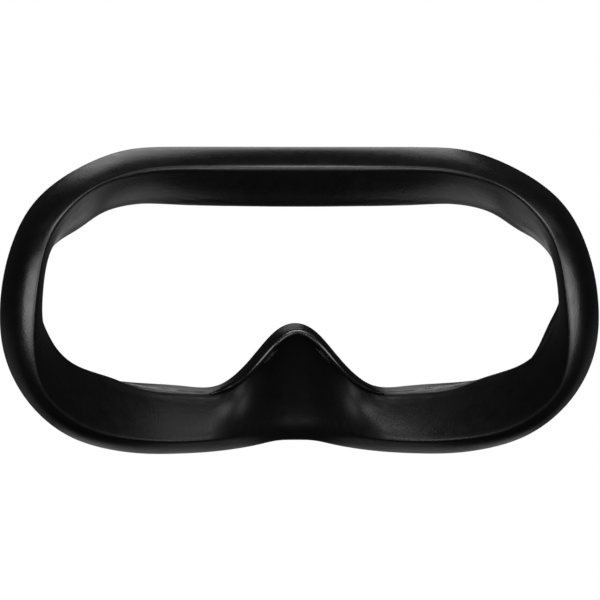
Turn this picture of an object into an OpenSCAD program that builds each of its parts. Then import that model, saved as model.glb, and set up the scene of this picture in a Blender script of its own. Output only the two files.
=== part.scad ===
// Face pad for first-person-view goggles: a leatherette-covered foam ring with a nose arch,
// laminated to a thin backing board that carries hook-and-loop strips.
// X runs across the face, Z up and Y away from the wearer, towards the goggles.
// The origin is the middle of the pad's width, depth and height.

/* [Pad] */
// Overall width, temple to temple
overall_w = 182; // [168:1:196]
// Overall height, brow to cheek
overall_h = 95; // [86:1:102]
// Depth of the pad at the middle of the brow
brow_depth = 20; // [18:0.5:24]
// How much nearer to the wearer the temples come than the brow
temple_reach = 30; // [24:0.5:34]
// How far the back bends towards the wearer at the temples
temple_bend = 22; // [16:0.5:24]
// How far the pad recedes below the nose arch
nose_recess = 13.5; // [10:0.5:14]

/* [Cover] */
// Thickness of the leatherette
cover_t = 0.9; // [0.7:0.1:1.1]
// Width of leatherette turned in over the back
turn_in = 4; // [3:0.5:5]
// Radius of the piping along the nose and cheek lip
piping_r = 0.7; // [0.4:0.05:0.8]
// Thickness of the sewing thread
thread_t = 0.4; // [0.3:0.05:0.5]

/* [Backing] */
// Thickness of the backing board
board_t = 1; // [0.8:0.1:1.4]
// Thickness of each adhesive film
film_t = 0.35; // [0.3:0.05:0.45]
// Share of the outer wall's depth filled by the firm base foam
base_share = 0.8; // [0.7:0.05:0.9]

/* [Loop strips] */
// Thickness of a loop strip, tape and pile
loop_t = 1.6; // [1.3:0.1:2]
// Thickness of the woven tape at a strip's edges
tape_t = 0.6; // [0.4:0.05:0.7]
// Width of the bare tape beside the pile
selvedge = 1.4; // [1.2:0.1:1.6]
// Width of the brow and cheek strips
loop_w = 10; // [8:0.5:11]
// Length of the brow strip
brow_loop_l = 84; // [60:1:88]
// Length of each cheek strip
cheek_loop_l = 27; // [20:1:28]
// Length of each nose strip
nose_loop_l = 20; // [14:1:21]
// Width of each nose strip
nose_loop_w = 7; // [5:0.5:8]

/* [Hidden] */

// The lines that shape the pad, as [x, z] in mm on one half, from the middle of the brow (0)
// round the temple (7) and the cheek (13) to the middle of the nose (17).
// Ridge: the line nearest to the wearer, where the outer wall meets the contact face.
ridge_line = [[0, 40.1], [20, 40.1], [38, 39.9], [50, 38.2], [61.2, 33.9], [69.9, 26.6],
    [75.8, 16.8], [78.6, 3.5], [79.8, -10], [78.8, -21.5], [73.8, -31], [63, -38.7], [50, -42],
    [37, -42.8], [25, -42.2], [13.5, -40.6], [6, -39.1], [0, -38.6]];
// Outline: the widest line of the outer wall.
outline = [[0, 47.4], [20, 47.4], [39, 47.3], [53.4, 46], [67.2, 40.4], [79, 31.5], [86.3, 19.4],
    [90.2, 4], [90.3, -12], [86.2, -24.8], [78.8, -35], [67.3, -43], [51.5, -47], [37, -47.5],
    [24.5, -46.8], [13, -45.2], [6, -43.7], [0, -43.4]];
// Lip: the inner edge of the contact face.
lip_line = [[0, 28.6], [20, 28.7], [37.5, 29.1], [48, 29.3], [58.8, 26.8], [67.3, 21.2],
    [75.8, 14.4], [78.8, 2], [77.8, -5.6], [73.7, -14], [66.8, -20], [57, -23.5], [47, -27.2],
    [35, -28.6], [24, -28.1], [14.5, -22.2], [7.2, -14], [0, -9.8]];
// Opening: the edge of the hole at the back.
opening_line = [[0, 29.5], [20, 29.9], [37.5, 30.6], [48.4, 30.6], [60, 27.8], [68.8, 22],
    [77.6, 14.2], [80.8, 2], [77.8, -6.6], [74, -15.2], [68.4, -21.4], [58, -24.5],
    [46.8, -25.5], [34.6, -26.3], [23.6, -26], [14.2, -18.3], [6.8, -9.9], [0, -6.9]];
// How far the lip lies behind the face curve, at each of those 18 places.
lip_back = [12, 12, 14, 16, 17.5, 18, 15.5, 13, 13.5, 15, 15.5, 14.5, 13, 12, 10.5, 5.5, 3.5, 4];
// How far the middle of the contact face stands proud of a straight line, below 0 where hollow.
crown = [0.6, 0.6, 0.6, 0.6, 0.6, 0.8, 1.4, 1.8, 1.8, 1.2, 0.8, 0.8, 0.8, 0.6, 0.3, -0.5, -1, -1];
// How far the outer roll swells beyond a plain slope, from 0 to 1.
fullness = [0.35, 0.35, 0.35, 0.4, 0.5, 0.7, 0.9, 1, 1, 1, 0.95, 0.75, 0.5, 0.45, 0.45, 0.45,
    0.4, 0.4];
last = len(ridge_line) - 1;

flat_half_w = 50;    // the back is flat as far as this from the middle
nose_half_w = 27;    // the nose recess starts here
reach_power = 2.2;   // 2 is a parabola, more is flatter at the brow and tighter at the temple
wall_share = 0.45;   // how far along the pad's depth its wall is widest
roll_share = 0.86;   // how far out a full roll runs before it turns
edge_tuck = 1.5;     // how far the back edge lies inside the outline
steps = 3;           // rings between two places on a line
roll_steps = 5;      // points over the outer roll
face_steps = 4;      // points over the contact face
relief = 1.2;        // groove in the foam under each seam
thread_sink = 0.6;   // how far the seam thread lies below the cover
stitch_edge = 0.5;   // from a strip's edge to its stitches
piping_from = 13.67; // the piping runs over the nose from this place on the lip to its mirror image
piping_gap = 0.02;   // between the piping and the cover
sharpest = 0.6;      // limits how far a layer's corner is drawn out
back_w = overall_w / 2;
overall_d = loop_t + brow_depth + temple_reach;
flat_y = overall_d / 2 - loop_t;

function unit(v) = v / max(norm(v), 1e-9);
function mix(a, b, t) = a * (1 - t) + b * t;
function ease(t) = t <= 0 ? 0 : t >= 1 ? 1 : t * t * (3 - 2 * t);

// The back and the face curve, as Y over X.
function back_y(x) = let (over = (abs(x) - flat_half_w * sx) / (back_w - flat_half_w * sx))
    flat_y - (over <= 0 ? 0 : temple_bend * over * over);
function face_y(x) = flat_y - brow_depth - temple_reach * pow(abs(x) / ridge_half_w, reach_power);
function nose_y(x, z) = z < 0 ? nose_recess * ease(1 - abs(x) / (nose_half_w * sx)) : 0;

// A half line mirrored into a closed loop, then rounded through its points.
function mirrored(half) = concat(half, [for (i = [last - 1:-1:1]) [-half[i].x, half[i].y]]);
function repeated(half) = concat(half, [for (i = [last - 1:-1:1]) half[i]]);
function rounded(a, b, c, d, t) = (2 * b + (c - a) * t + (2 * a - 5 * b + 4 * c - d) * t * t
    + (3 * b - a - 3 * c + d) * t * t * t) / 2;
function loop(p) = let (n = len(p)) [for (i = [0:n - 1], k = [0:steps - 1])
    rounded(p[(i + n - 1) % n], p[i], p[(i + 1) % n], p[(i + 2) % n], k / steps)];
function sized(p) = [for (q = p) [q.x * sx, q.y * sz]];

// The outline as drawn, and the scale from it to the driving dimensions.
drawn = loop(mirrored(outline));
sx = overall_w / (max([for (p = drawn) p.x]) - min([for (p = drawn) p.x]));
sz = overall_h / (max([for (p = drawn) p.y]) - min([for (p = drawn) p.y]));

ridge = sized(loop(mirrored(ridge_line)));
ridge_half_w = max([for (p = ridge) p.x]);
outer = sized(drawn);
lip = sized(loop(mirrored(lip_line)));
opening = sized(loop(mirrored(opening_line)));
lip_depth = loop(repeated(lip_back));
crowns = loop(repeated(crown));
swell = loop(repeated(fullness));
rings = len(ridge);

function ridge_at(i) = let (p = ridge[i]) [p.x, face_y(p.x) + nose_y(p.x, p.y), p.y];
function lip_at(i) = let (p = lip[i]) [p.x, face_y(p.x) + lip_depth[i], p.y];
function outer_at(i) = let (p = outer[i])
    [p.x, mix(back_y(p.x), ridge_at(i).y, wall_share), p.y];
function on_back(p) = [p.x, back_y(p.x), p.y];
function back_outer_at(i) = on_back(outer[i] + unit(ridge[i] - outer[i]) * edge_tuck);
function back_inner_at(i) = on_back(opening[i]);
function along(a, b, d) = a + unit(b - a) * d;

// The contact face bows from the ridge to the lip through a crowned middle.
function face_at(i, t) = let (a = ridge_at(i), b = lip_at(i),
        tangent = ridge_at((i + 1) % rings) - ridge_at((i + rings - 1) % rings),
        middle = (a + b) / 2 + unit(cross(b - a, tangent)) * crowns[i])
    a * (1 - t) * (1 - 2 * t) + middle * 4 * t * (1 - t) + b * t * (2 * t - 1);
// The outer roll turns from the ridge to the widest line of the wall.
function roll_at(i, t) = let (a = ridge_at(i), c = outer_at(i),
        full = [mix(a.x, c.x, roll_share), a.y - 1, mix(a.z, c.z, roll_share)],
        b = mix((a + c) / 2, full, swell[i]))
    a * (1 - t) * (1 - t) + b * 2 * t * (1 - t) + c * t * t;

// One ring of the pad's surface, from the back's outer edge over the wearer's side to its
// inner edge. Places in it: 0 back outer edge, 1 and 2 board and film, 3 and 4 foam joint,
// WIDE the outline, RIDGE, LIP, then the same joints on the inner wall, and the back's middle.
WIDE = 5;
RIDGE = WIDE + roll_steps;
LIP = RIDGE + face_steps;
IN = LIP + 5;
TURN_IN = IN + 1;
TURN_OUT = IN + 2;
function ring(i) = let (q = back_outer_at(i), o = outer_at(i), l = lip_at(i),
        n = back_inner_at(i), board = cover_t + board_t,
        base = base_share * (q.y - o.y), inner_share = base / (n.y - l.y),
        width = norm(n - q), turned = min(turn_in, width / 3) / width)
    concat(
        [q, along(q, o, board), along(q, o, board + film_t), mix(q, o, base_share),
            along(mix(q, o, base_share), o, film_t)],
        [for (k = [roll_steps:-1:1]) roll_at(i, k / roll_steps)],
        [for (k = [0:face_steps]) face_at(i, k / face_steps)],
        [along(mix(n, l, inner_share), l, film_t), mix(n, l, inner_share),
            along(n, l, board + film_t), along(n, l, board), n],
        [for (t = [turned, 1 - turned]) on_back([mix(n.x, q.x, t), mix(n.z, q.z, t)])]);

skin = [for (i = [0:rings - 1]) ring(i)];
places = len(skin[0]);

// The surface normal at one place, long enough at a corner to keep the layer's thickness.
function normal_at(i, k) = let (
        tangent = skin[(i + 1) % rings][k] - skin[(i + rings - 1) % rings][k],
        p = skin[i][k],
        before = unit(cross(p - skin[i][(k + places - 1) % places], tangent)),
        after = unit(cross(skin[i][(k + 1) % places] - p, tangent)))
    (before + after) / max(1 + before * after, sharpest);
normals = [for (i = [0:rings - 1]) [for (k = [0:places - 1]) normal_at(i, k)]];
function under(i, k, depth) = skin[i][k] - normals[i][k] * depth;
inside = [for (i = [0:rings - 1]) [for (k = [0:places - 1]) under(i, k, cover_t)]];

// Ring numbers of a place on the lines, 0 to 17, on the right or the left side.
function right_ring(s) = round(s * steps);
function left_ring(s) = round(rings - s * steps);
function span(from, to) = [for (i = [from:to]) i % rings];
all_rings = span(0, rings - 1);

// A solid through a list of like-sized outlines, closed into a loop or capped at its ends.
module sweep(outlines, closed = true) {
    n = len(outlines);
    m = len(outlines[0]);
    last_ring = closed ? n - 1 : n - 2;
    function at(i, k) = (i % n) * m + k % m;
    sides = [for (i = [0:last_ring], k = [0:m - 1])
        each [[at(i, k), at(i + 1, k + 1), at(i, k + 1)], [at(i, k), at(i + 1, k), at(i + 1, k + 1)]]];
    caps = [[for (k = [0:m - 1]) at(0, k)], [for (k = [m - 1:-1:0]) at(n - 1, k)]];
    polyhedron(points = [for (o = outlines) each o], faces = closed ? sides : concat(sides, caps));
}

// A layer of the cover between two places of the ring.
module cover(from, to) {
    sweep([for (i = all_rings) concat(
        [for (k = [from:to]) skin[i][k % places]],
        [for (k = [to:-1:from]) inside[i][k % places]])]);
}

// A layer inside the cover, given by the places at its four corners.
module layer(a, b, c, d) {
    sweep([for (i = all_rings) [inside[i][a], inside[i][b], inside[i][c], inside[i][d]]]);
}

// The soft foam under the contact face, with a groove for each seam.
module soft_foam(which, closed = false) {
    sweep([for (i = which) [for (k = [WIDE - 1:LIP + 1])
        k == RIDGE || k == LIP ? under(i, k, cover_t + relief) : inside[i][k]]], closed);
}

// A four-sided thread that follows one place of the ring.
module thread_under(k, depth) {
    h = thread_t / 2;
    sweep([for (i = all_rings) let (p = under(i, k, depth), n = unit(normals[i][k]),
            t = unit(skin[(i + 1) % rings][k] - skin[(i + rings - 1) % rings][k]),
            b = unit(cross(n, t)))
        [p + n * h, p + b * h, p - n * h, p - b * h]]);
}

// A solid on the back along some rings. Each point of its profile is a share of the back's
// width, from its inner to its outer edge, and a height over its surface.
module on_flange(which, profile) {
    function at(i, share, h) = let (n = skin[i][IN], q = skin[i][0],
            p = on_back([mix(n.x, q.x, share), mix(n.z, q.z, share)]),
            e = 0.01, slope = (back_y(p.x + e) - back_y(p.x - e)) / (2 * e))
        p + unit([-slope, 1, 0]) * h;
    sweep([for (i = which) [for (q = profile) at(i, q[0], q[1])]], closed = false);
}

// A straight slab with round ends, lying between two heights over the flat part of the back.
module slab(length, width, low, high) {
    translate([0, flat_y + low, 0]) rotate([-90, 0, 0]) linear_extrude(high - low) {
        square([length - width, width], center = true);
        for (side = [-1, 1]) translate([side * (length - width) / 2, 0]) circle(d = width, $fn = 48);
    }
}

// A loop strip: woven tape with the pile standing on its middle.
module flat_strip(length, width) {
    slab(length, width, 0, tape_t);
    slab(length - 2 * selvedge, width - 2 * selvedge, 0, loop_t);
}

// The line of stitches round a loop strip, on its bare edge.
module flat_stitches(length, width) {
    inner = stitch_edge + thread_t;
    difference() {
        slab(length - 2 * stitch_edge, width - 2 * stitch_edge, tape_t, tape_t + thread_t);
        slab(length - 2 * inner, width - 2 * inner, tape_t - 1, tape_t + thread_t + 1);
    }
}

// Where the strips sit on the back.
brow_loop_z = 37.4 * sz;
cheek_loop_x = 37 * sx;
cheek_loop_z = -35.6 * sz;
nose_loop_x = 9.5 * sx;
nose_loop_z = -28 * sz;
nose_loop_lean = 16;
temple_from = 4.3;
temple_to = 8.7;
temple_share = [0.14, 0.86];
flange_w = norm(skin[right_ring(7)][IN] - skin[right_ring(7)][0]);
pile_share = temple_share + [1, -1] * selvedge / flange_w;
stitch_share = temple_share + [1, -1] * stitch_edge / flange_w;
thread_share = thread_t / flange_w;

module brow_place() translate([0, 0, brow_loop_z]) children();
module cheek_place(side) translate([side * cheek_loop_x, 0, cheek_loop_z]) children();
module nose_place(side)
    translate([side * nose_loop_x, 0, nose_loop_z]) rotate([0, side * (90 - nose_loop_lean), 0]) children();
function temple_rings(side) = side > 0 ? span(right_ring(temple_from), right_ring(temple_to))
    : span(left_ring(temple_to), left_ring(temple_from));

module outer_wall_cover() color("#17171a") cover(TURN_OUT, places + RIDGE);
module contact_cover() color("#141416") cover(RIDGE, LIP);
module inner_wall_cover() color("#1b1b1d") cover(LIP, TURN_IN);
module rear_lining() color("#26262a") cover(TURN_IN, TURN_OUT);

module lip_piping() color("#2c2c30") {
    sides = 8;
    from = right_ring(piping_from);
    to = left_ring(piping_from);
    sweep([for (i = span(from, to)) let (n = unit(normals[i][LIP]),
            t = unit(skin[(i + 1) % rings][LIP] - skin[(i + rings - 1) % rings][LIP]),
            b = unit(cross(n, t)), p = skin[i][LIP] + n * (piping_r + piping_gap))
        [for (k = [0:sides - 1]) p + n * piping_r * cos(k * 360 / sides)
            - b * piping_r * sin(k * 360 / sides)]], closed = false);
}

module seam_thread() color("#101012") {
    thread_under(RIDGE, cover_t + thread_sink);
    thread_under(LIP, cover_t + thread_sink);
}

// Where the soft foam is divided into its four blocks.
brow_end = 4;
nose_start = 14;
module brow_foam() color("#4a4a4e")
    soft_foam(span(left_ring(brow_end), rings + right_ring(brow_end)));
module cheek_foam_right() color("#46464a")
    soft_foam(span(right_ring(brow_end), right_ring(nose_start)));
module cheek_foam_left() color("#46464a")
    soft_foam(span(left_ring(nose_start), left_ring(brow_end)));
module nose_foam() color("#505054")
    soft_foam(span(right_ring(nose_start), left_ring(nose_start)));
module foam_bond_film() color("#d8d2b8") layer(3, 4, LIP + 1, LIP + 2);
module base_foam() color("#2f2f33") layer(2, 3, LIP + 2, LIP + 3);
module board_bond_film() color("#d8d2b8") layer(1, 2, LIP + 3, LIP + 4);

module backing_board() color("#3a3a3e")
    sweep([for (i = all_rings)
        [for (k = [0, 1, LIP + 4, IN, TURN_IN, TURN_OUT]) inside[i][k]]]);

module brow_loop_strip() color("#232327")
    brow_place() flat_strip(brow_loop_l, loop_w);
module cheek_loop_strip(side) color("#232327")
    cheek_place(side) flat_strip(cheek_loop_l, loop_w);
module nose_loop_strip(side) color("#232327")
    nose_place(side) flat_strip(nose_loop_l, nose_loop_w);
module temple_loop_strip(side) color("#232327")
    on_flange(temple_rings(side), [
        [temple_share[0], 0], [temple_share[0], tape_t], [pile_share[0], tape_t], [pile_share[0], loop_t],
        [pile_share[1], loop_t], [pile_share[1], tape_t], [temple_share[1], tape_t], [temple_share[1], 0]]);

module loop_strip_stitching() color("#5a5a60") {
    brow_place() flat_stitches(brow_loop_l, loop_w);
    for (side = [-1, 1]) {
        cheek_place(side) flat_stitches(cheek_loop_l, loop_w);
        nose_place(side) flat_stitches(nose_loop_l, nose_loop_w);
        for (share = [stitch_share[0], stitch_share[1] - thread_share])
            on_flange(temple_rings(side), [[share, tape_t], [share, tape_t + thread_t],
                [share + thread_share, tape_t + thread_t], [share + thread_share, tape_t]]);
    }
}

outer_wall_cover();
contact_cover();
inner_wall_cover();
lip_piping();
seam_thread();
brow_foam();
cheek_foam_left();
cheek_foam_right();
nose_foam();
foam_bond_film();
base_foam();
board_bond_film();
backing_board();
rear_lining();
brow_loop_strip();
temple_loop_strip(-1);  // temple_loop_strip_left
temple_loop_strip(1);  // temple_loop_strip_right
cheek_loop_strip(-1);  // cheek_loop_strip_left
cheek_loop_strip(1);  // cheek_loop_strip_right
nose_loop_strip(-1);  // nose_loop_strip_left
nose_loop_strip(1);  // nose_loop_strip_right
loop_strip_stitching();
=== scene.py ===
"""The looks of a leatherette face pad for first-person-view goggles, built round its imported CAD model.

Lengths are in millimetres until a mesh is made. X runs across the face, Z up, Y away from the wearer.
"""
import math

import bpy
import numpy as np
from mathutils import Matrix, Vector
from mathutils.kdtree import KDTree


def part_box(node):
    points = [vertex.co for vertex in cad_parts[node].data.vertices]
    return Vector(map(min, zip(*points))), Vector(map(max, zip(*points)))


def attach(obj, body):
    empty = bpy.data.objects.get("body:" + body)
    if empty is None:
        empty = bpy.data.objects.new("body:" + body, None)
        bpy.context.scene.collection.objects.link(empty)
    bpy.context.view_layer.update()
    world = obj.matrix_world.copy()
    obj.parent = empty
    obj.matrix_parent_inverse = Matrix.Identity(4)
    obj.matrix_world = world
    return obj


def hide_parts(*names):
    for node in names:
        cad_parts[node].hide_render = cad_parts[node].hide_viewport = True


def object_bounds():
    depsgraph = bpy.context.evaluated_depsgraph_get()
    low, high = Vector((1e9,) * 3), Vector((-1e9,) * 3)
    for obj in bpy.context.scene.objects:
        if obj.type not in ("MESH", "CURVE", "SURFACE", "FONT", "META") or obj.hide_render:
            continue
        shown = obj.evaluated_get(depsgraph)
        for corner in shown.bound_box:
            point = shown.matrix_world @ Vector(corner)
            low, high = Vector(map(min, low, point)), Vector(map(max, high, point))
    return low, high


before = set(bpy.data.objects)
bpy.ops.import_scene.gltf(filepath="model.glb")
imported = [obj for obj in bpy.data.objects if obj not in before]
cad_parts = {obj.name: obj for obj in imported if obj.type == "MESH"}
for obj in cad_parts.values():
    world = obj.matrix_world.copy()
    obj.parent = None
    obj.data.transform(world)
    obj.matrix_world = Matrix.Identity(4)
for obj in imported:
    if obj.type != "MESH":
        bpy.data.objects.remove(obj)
cad_low, cad_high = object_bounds()
MM = 0.001


def span(node):
    """Lowest and highest corner of a CAD node, in millimetres."""
    low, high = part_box(node)
    return np.array(low) / MM, np.array(high) / MM


# ---------------------------------------------------------------- sizes, from the frame
PAD_LOW, PAD_HIGH = np.array(cad_low) / MM, np.array(cad_high) / MM
FLAT_Y = span("rear_lining")[1][1]          # the flat middle of the back
LOOP_T = PAD_HIGH[1] - FLAT_Y               # the loop strips' thickness
COVER_T = 0.9                               # leatherette
BROW_DEPTH = 20.0
TEMPLE_REACH = FLAT_Y - BROW_DEPTH - PAD_LOW[1]
TEMPLE_BEND = 22.0
NOSE_RECESS = 13.5
FLAT_HALF_W = 50.0
NOSE_HALF_W = 27.0
REACH_POWER = 2.2
WALL_SHARE = 0.45
ROLL_SHARE = 0.86
EDGE_TUCK = 1.5
TURN_IN = 4.0

# The lines that shape one half of the pad, as (x, z), from the middle of the brow round the
# temple and the cheek to the middle of the nose: the CAD source's own guide lines.
RIDGE_LINE = [(0, 40.1), (20, 40.1), (38, 39.9), (50, 38.2), (61.2, 33.9), (69.9, 26.6), (75.8, 16.8),
              (78.6, 3.5), (79.8, -10), (78.8, -21.5), (73.8, -31), (63, -38.7), (50, -42), (37, -42.8),
              (25, -42.2), (13.5, -40.6), (6, -39.1), (0, -38.6)]
OUTLINE = [(0, 47.4), (20, 47.4), (39, 47.3), (53.4, 46), (67.2, 40.4), (79, 31.5), (86.3, 19.4),
           (90.2, 4), (90.3, -12), (86.2, -24.8), (78.8, -35), (67.3, -43), (51.5, -47),
           (37, -47.5), (24.5, -46.8), (13, -45.2), (6, -43.7), (0, -43.4)]
LIP_LINE = [(0, 28.6), (20, 28.7), (37.5, 29.1), (48, 29.3), (58.8, 26.8), (67.3, 21.2), (75.8, 14.4),
            (78.8, 2), (77.8, -5.6), (73.7, -14), (66.8, -20), (57, -23.5), (47, -27.2), (35, -28.6),
            (24, -28.1), (14.5, -22.2), (7.2, -14), (0, -9.8)]
OPENING_LINE = [(0, 29.5), (20, 29.9), (37.5, 30.6), (48.4, 30.6), (60, 27.8), (68.8, 22), (77.6, 14.2),
                (80.8, 2), (77.8, -6.6), (74, -15.2), (68.4, -21.4), (58, -24.5), (46.8, -25.5),
                (34.6, -26.3), (23.6, -26), (14.2, -18.3), (6.8, -9.9), (0, -6.9)]
LIP_BACK = [12, 12, 14, 16, 17.5, 18, 15.5, 13, 13.5, 15, 15.5, 14.5, 13, 12, 10.5, 5.5, 3.5, 4]
CROWN = [0.6, 0.6, 0.6, 0.6, 0.6, 0.8, 1.4, 1.8, 1.8, 1.2, 0.8, 0.8, 0.8, 0.6, 0.3, -0.5, -1, -1]
FULLNESS = [0.35, 0.35, 0.35, 0.4, 0.5, 0.7, 0.9, 1, 1, 1, 0.95, 0.75, 0.5, 0.45, 0.45, 0.45, 0.4, 0.4]
STATIONS = 2 * (len(RIDGE_LINE) - 1)

RINGS = 560          # sections round the pad
FINE = 960           # points round one section before it is cut into panels


# ---------------------------------------------------------------- curves round the pad
def mirrored(half, flip=True):
    """A half line closed into a loop of STATIONS values."""
    a = np.array(half, float)
    back = a[-2:0:-1].copy()
    if flip:
        back[:, 0] *= -1
    return np.concatenate([a, back])


def spline(points, u):
    """A smooth closed curve through the points, at stations u."""
    p = np.atleast_2d(np.array(points, float).T).T
    n = len(p)
    knots = np.arange(n)
    m = np.zeros((n, n))
    m[knots, knots] = 4 / 6
    m[knots, (knots + 1) % n] = m[knots, (knots - 1) % n] = 1 / 6
    control = np.linalg.solve(m, p)
    i = np.floor(u).astype(int)
    t = (u - i)[:, None]
    c = [control[(i + k) % n] for k in (-1, 0, 1, 2)]
    return ((1 - t) ** 3 * c[0] + (3 * t ** 3 - 6 * t ** 2 + 4) * c[1]
            + (-3 * t ** 3 + 3 * t ** 2 + 3 * t + 1) * c[2] + t ** 3 * c[3]) / 6


def even_stations(count):
    """Station numbers that lie evenly along the ring between the ridge and the lip."""
    u = np.linspace(0, STATIONS, 4001)
    mid = (spline(mirrored(RIDGE_LINE), u) + spline(mirrored(LIP_LINE), u)) / 2
    run = np.r_[0, np.cumsum(np.linalg.norm(np.diff(mid, axis=0), axis=1))]
    return np.interp(np.arange(count) / count * run[-1], run, u)


u_ring = even_stations(RINGS)
drawn = spline(mirrored(OUTLINE), u_ring)
SCALE = (PAD_HIGH - PAD_LOW)[[0, 2]] / (drawn.max(0) - drawn.min(0))
outline = drawn * SCALE
ridge_xz = spline(mirrored(RIDGE_LINE), u_ring) * SCALE
lip_xz = spline(mirrored(LIP_LINE), u_ring) * SCALE
opening_xz = spline(mirrored(OPENING_LINE), u_ring) * SCALE


def by_station(values):
    """One value per section from a list given from the brow to the nose."""
    return spline(mirrored([(v,) for v in values], flip=False), u_ring)[:, 0]


lip_back, crown, fullness = by_station(LIP_BACK), by_station(CROWN), by_station(FULLNESS)


def ease(t):
    t = np.clip(t, 0, 1)
    return t * t * (3 - 2 * t)


def back_y(x):
    flat, half = FLAT_HALF_W * SCALE[0], PAD_HIGH[0]
    return FLAT_Y - TEMPLE_BEND * np.clip((np.abs(x) - flat) / (half - flat), 0, None) ** 2


def face_y(x):
    return FLAT_Y - BROW_DEPTH - TEMPLE_REACH * (np.abs(x) / ridge_xz[:, 0].max()) ** REACH_POWER


def nose_y(x, z):
    return np.where(z < 0, NOSE_RECESS * ease(1 - np.abs(x) / (NOSE_HALF_W * SCALE[0])), 0)


def in_space(xz, y):
    return np.stack([xz[:, 0], y, xz[:, 1]], 1)


def unit(v):
    return v / np.maximum(np.linalg.norm(v, axis=-1, keepdims=True), 1e-9)


# ---------------------------------------------------------------- the pad's section, ring by ring
ridge = in_space(ridge_xz, face_y(ridge_xz[:, 0]) + nose_y(*ridge_xz.T))
lip = in_space(lip_xz, face_y(lip_xz[:, 0]) + lip_back)
widest = in_space(outline, back_y(outline[:, 0]) * (1 - WALL_SHARE) + ridge[:, 1] * WALL_SHARE)
edge_xz = outline + unit(ridge_xz - outline) * EDGE_TUCK
back_outer = in_space(edge_xz, back_y(edge_xz[:, 0]))
back_inner = in_space(opening_xz, back_y(opening_xz[:, 0]))


def stretch(a, b, count):
    t = np.linspace(0, 1, count, endpoint=False)[None, :, None]
    return a[:, None] * (1 - t) + b[:, None] * t


def on_back(a, b, count):
    p = stretch(a, b, count)
    p[..., 1] = back_y(p[..., 0])
    return p


def curve_through(a, middle, b, count):
    t = np.linspace(0, 1, count, endpoint=False)[None, :, None]
    return (a[:, None] * (1 - t) * (1 - 2 * t) + middle[:, None] * 4 * t * (1 - t)
            + b[:, None] * t * (2 * t - 1))


def bezier(a, b, c, count):
    t = np.linspace(0, 1, count, endpoint=False)[None, :, None]
    return a[:, None] * (1 - t) ** 2 + b[:, None] * 2 * t * (1 - t) + c[:, None] * t ** 2


round_ring = unit(np.roll(ridge, -1, 0) - np.roll(ridge, 1, 0))
face_normal = unit(np.cross(lip - ridge, round_ring))
face_middle = (ridge + lip) / 2 + face_normal * crown[:, None]
full_roll = ridge * (1 - ROLL_SHARE) + widest * ROLL_SHARE
full_roll[:, 1] = ridge[:, 1] - 1
roll_pull = (ridge + widest) / 2 * (1 - fullness[:, None]) + full_roll * fullness[:, None]
turned = np.minimum(TURN_IN, np.linalg.norm(back_inner - back_outer, axis=1) / 3)[:, None]
across = unit(back_inner - back_outer)
lining_outer = back_outer + across * turned
lining_inner = back_inner - across * turned

# The closed section, in order, and the place in it where each part starts.
PARTS = [("turned_outer", on_back(lining_outer, back_outer, 40)),
         ("wall", stretch(back_outer, widest, 90)),
         ("roll", bezier(widest, roll_pull, ridge, 120)),
         ("face", curve_through(ridge, face_middle, lip, 220)),
         ("inner_wall", stretch(lip, back_inner, 160)),
         ("turned_inner", on_back(back_inner, lining_inner, 40)),
         ("lining", on_back(lining_inner, lining_outer, 60))]


def resample(points, count):
    """Points evenly spaced round each closed section, and each input point's place in them."""
    closed = np.concatenate([points, points[:, :1]], 1)
    run = np.concatenate([np.zeros((len(points), 1)),
                          np.cumsum(np.linalg.norm(np.diff(closed, axis=1), axis=2), axis=1)], 1)
    out = np.empty((len(points), count, 3))
    for i in range(len(points)):
        at = np.arange(count) / count * run[i, -1]
        for k in range(3):
            out[i, :, k] = np.interp(at, run[i], closed[i, :, k])
    return out, run[:, :-1] / run[:, -1:] * count, run[:, -1]


def soften(points, perimeter, radius):
    """Rounds each closed section's corners over about radius millimetres."""
    f = np.fft.rfftfreq(points.shape[1])[None, :, None]
    sigma = (radius / (perimeter / points.shape[1]))[:, None, None]
    spectrum = np.fft.rfft(points, axis=1) * np.exp(-2 * (math.pi * sigma * f) ** 2)
    return np.fft.irfft(spectrum, points.shape[1], axis=1)


even, places, perimeter = resample(np.concatenate([p for _, p in PARTS], 1), FINE)
starts = np.cumsum([0] + [p.shape[1] for _, p in PARTS])
START = {name: places[:, s] for (name, _), s in zip(PARTS, starts)}
crisp, sharp, rounder, gentle = (soften(even, perimeter, r) for r in (0.3, 0.7, 1.7, 2.4))
# How far the ridge is rounded over at each station, from 0 plain to 1, and how crisp its fold is.
RIDGE_ROUND = [1, 1, 1, 0.9, 0.5, 0.2, 0, 0, 0, 0, 0, 0, 0, 0, 0.3, 0.9, 1, 1]
RIDGE_CRISP = [0, 0, 0, 0.1, 0.4, 0.8, 1, 1, 1, 1, 1, 1, 1, 1, 0.7, 0.1, 0, 0]
LIP_CRISP = [0.3, 0.3, 0.3, 0.3, 0.5, 0.8, 1, 1, 1, 0.7, 0.3, 0, 0, 0, 0.4, 1, 1, 1]
step = perimeter / FINE                                    # millimetres between fine points


def distance_to(part):
    """Each fine point's signed distance along the section from where a part starts."""
    d = np.arange(FINE)[None, :] - START[part][:, None]
    return ((d + FINE / 2) % FINE - FINE / 2) * step[:, None]


near_widest = np.exp(-(distance_to("roll") / 6) ** 2)[..., None]
near_ridge = (by_station(RIDGE_ROUND)[:, None] * np.exp(-(distance_to("face") / 5) ** 2))[..., None]
body = sharp * (1 - near_widest) + gentle * near_widest
body = body * (1 - near_ridge) + rounder * near_ridge
for part, how_crisp in (("face", RIDGE_CRISP), ("inner_wall", LIP_CRISP)):
    near = (by_station(how_crisp)[:, None] * np.exp(-(distance_to(part) / 2.5) ** 2))[..., None]
    body = body * (1 - near) + crisp * near


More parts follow.
